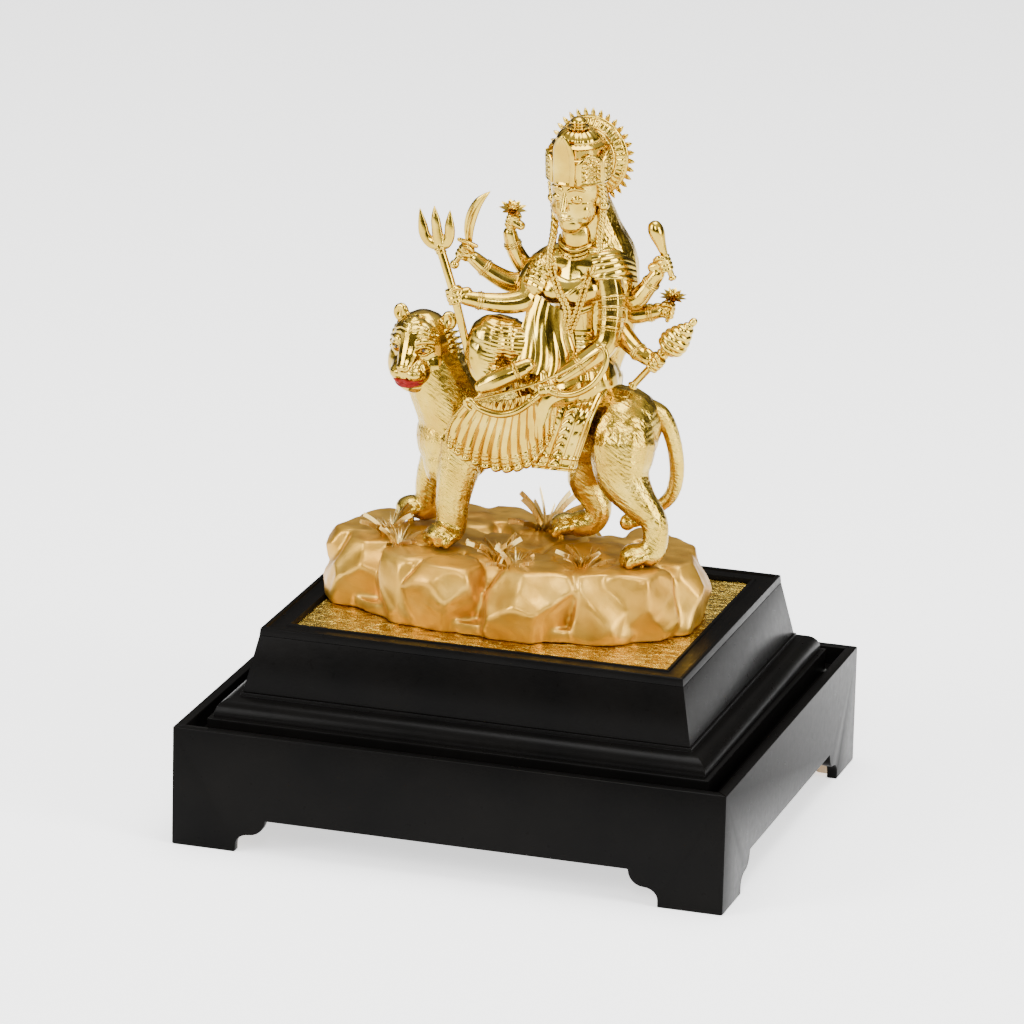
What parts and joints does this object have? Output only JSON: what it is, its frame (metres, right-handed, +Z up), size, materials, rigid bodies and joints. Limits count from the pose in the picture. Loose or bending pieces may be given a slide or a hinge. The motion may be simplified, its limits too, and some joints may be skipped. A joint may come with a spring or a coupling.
{
  "type": "deity statue on stand",
  "caption": "Gilded many-armed goddess riding a tiger on a rock, on a stepped black plinth set into a low footed tray stand; a display piece.",
  "frame": {"origin": "centre of the stand's underside on the floor", "axes": "+Z up; X along the stand's long side with the tiger's head towards -X; the front faces -Y"},
  "size_m": [0.24, 0.208, 0.304],
  "materials": {
    "gold_plate": "polished",
    "etched_brass": "satin",
    "gold_foil": "crinkled foil",
    "rock_paint": "satin gold paint",
    "closure_board": "matte",
    "black_lacquer": "satin black lacquer",
    "bare_wood": "raw",
    "felt": "matte",
    "screw_steel": "satin",
    "red_paint": "gloss",
    "eye_paint": "gloss"
  },
  "bodies": {
    "stand": {"stand_front_board": "black_lacquer", "stand_rear_board": "black_lacquer", "stand_left_board": "black_lacquer", "stand_right_board": "black_lacquer", "stand_floor": "black_lacquer", "stand_corner_blocks": "bare_wood", "stand_foot_pads": "felt", "stand_screws": "screw_steel"},
    "statue": {"plinth_front_board": "black_lacquer", "plinth_rear_board": "black_lacquer", "plinth_left_board": "black_lacquer", "plinth_right_board": "black_lacquer", "plinth_moulding": "black_lacquer", "plinth_base_board": "black_lacquer", "plinth_top_board": "black_lacquer", "plinth_top_frame": "black_lacquer", "gold_foil_panel": "gold_foil", "rock_base": "rock_paint", "rock_closure": "closure_board", "rock_screws": "screw_steel", "grass_tufts": "etched_brass", "tiger_body": "gold_plate", "tiger_head": "gold_plate", "tiger_ruff": "gold_plate", "tiger_eyes": "eye_paint", "tiger_lips": "red_paint", "tiger_leg_front_near": "gold_plate", "tiger_leg_front_far": "gold_plate", "tiger_leg_hind_near": "gold_plate", "tiger_leg_hind_far": "gold_plate", "tiger_tail": "gold_plate", "paw_pins": "gold_plate", "saddle_cloth": "gold_plate", "goddess_torso": "gold_plate", "goddess_head": "gold_plate", "hair": "gold_plate", "crown": "gold_plate", "halo": "gold_plate", "garland": "gold_plate", "skirt": "gold_plate", "right_leg": "gold_plate", "left_leg": "gold_plate", "arm_trident": "gold_plate", "arm_sword": "gold_plate", "arm_flower": "gold_plate", "arm_bow": "gold_plate", "arm_club": "gold_plate", "arm_lotus": "gold_plate", "arm_mace": "gold_plate", "trident": "gold_plate", "sword": "gold_plate", "flower": "gold_plate", "bow": "gold_plate", "club": "gold_plate", "lotus": "gold_plate", "mace": "gold_plate"}
  },
  "joints": [
    {"name": "plinth_lift", "type": "slide", "parent": "stand", "child": "statue", "axis": [0, 0, 1], "range_m": [0, 0.12]}
  ]
}
